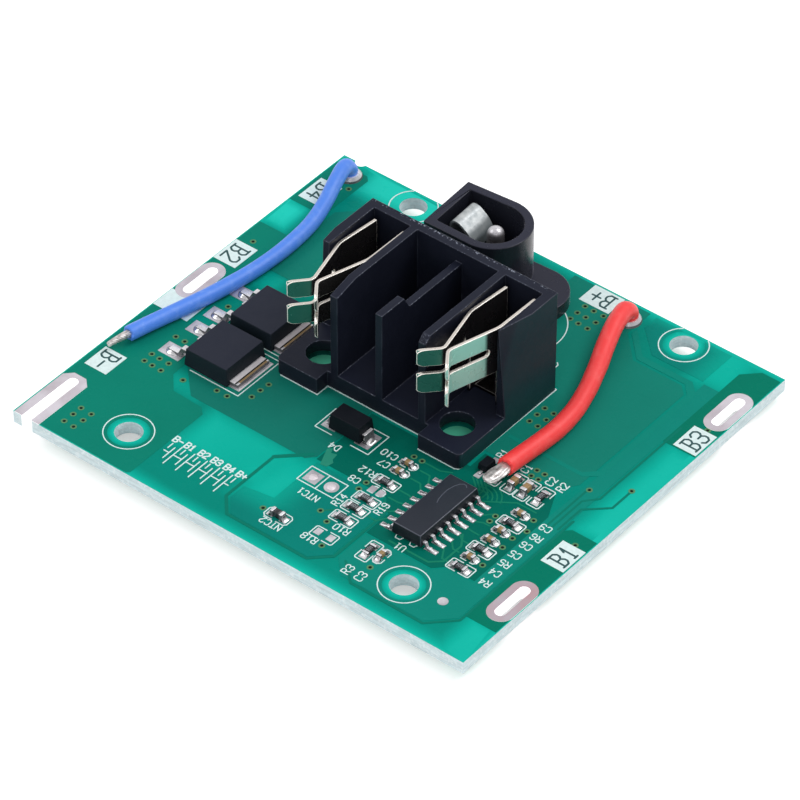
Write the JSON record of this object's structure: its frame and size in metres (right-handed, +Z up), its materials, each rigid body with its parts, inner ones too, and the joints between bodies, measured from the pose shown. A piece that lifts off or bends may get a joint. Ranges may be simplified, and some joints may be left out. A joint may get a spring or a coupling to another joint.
{
  "type": "battery management board",
  "caption": "Green circuit board with a black two-blade terminal block, an upright power jack, power transistors, a control chip and soldered blue and red leads.",
  "frame": {"origin": "middle of the board, level with the tips of the solder joints it rests on", "axes": "+X along the front edge to the right, +Y from the open front of the terminal block to the jack at the back, +Z up out of the component side"},
  "size_m": [0.062, 0.0566, 0.0167],
  "materials": {
    "solder_mask_board": "green solder mask over a glass-fibre laminate, satin",
    "tinned_metal": "solder-tinned copper, satin",
    "contact_metal": "plated spring metal, satin",
    "black_plastic": "black moulded plastic, finely textured",
    "chip_plastic": "black moulding compound, matt",
    "resistor_ceramic": "black glazed ceramic with tinned ends",
    "capacitor_ceramic": "tan ceramic with tinned ends",
    "blue_insulation": "pale blue soft insulation, satin",
    "red_insulation": "red soft insulation, satin"
  },
  "bodies": {
    "root": {"circuit_board": "solder_mask_board", "solder_lands": "tinned_metal", "tab_land_1": "tinned_metal", "tab_land_2": "tinned_metal", "tab_land_3": "tinned_metal", "tab_land_minus": "tinned_metal", "terminal_block": "black_plastic", "contact_left": "contact_metal", "contact_right": "contact_metal", "jack_housing": "black_plastic", "jack_pin": "contact_metal", "jack_spring": "contact_metal", "transistor_front_body": "chip_plastic", "transistor_front_leads": "tinned_metal", "transistor_rear_body": "chip_plastic", "transistor_rear_leads": "tinned_metal", "control_chip_body": "chip_plastic", "control_chip_leads": "tinned_metal", "rectifier_body": "chip_plastic", "rectifier_leads": "tinned_metal", "diode_body": "chip_plastic", "diode_leads": "tinned_metal", "thermistor_2": "resistor_ceramic", "blue_lead": "blue_insulation", "blue_lead_end": "tinned_metal", "red_lead": "red_insulation", "red_lead_end": "tinned_metal", "blue_lead_joint": "tinned_metal", "red_lead_joint": "tinned_metal", "underside_joints": "tinned_metal", "resistor_1": "resistor_ceramic", "resistor_2": "resistor_ceramic", "resistor_3": "resistor_ceramic", "resistor_4": "resistor_ceramic", "resistor_5": "resistor_ceramic", "resistor_6": "resistor_ceramic", "resistor_10": "resistor_ceramic", "resistor_12": "resistor_ceramic", "resistor_14": "resistor_ceramic", "resistor_19": "resistor_ceramic", "capacitor_1": "capacitor_ceramic", "capacitor_2": "capacitor_ceramic", "capacitor_3": "capacitor_ceramic", "capacitor_4": "capacitor_ceramic", "capacitor_5": "capacitor_ceramic", "capacitor_6": "capacitor_ceramic", "capacitor_7": "capacitor_ceramic", "capacitor_9": "capacitor_ceramic", "capacitor_10": "capacitor_ceramic"}
  },
  "joints": []
}
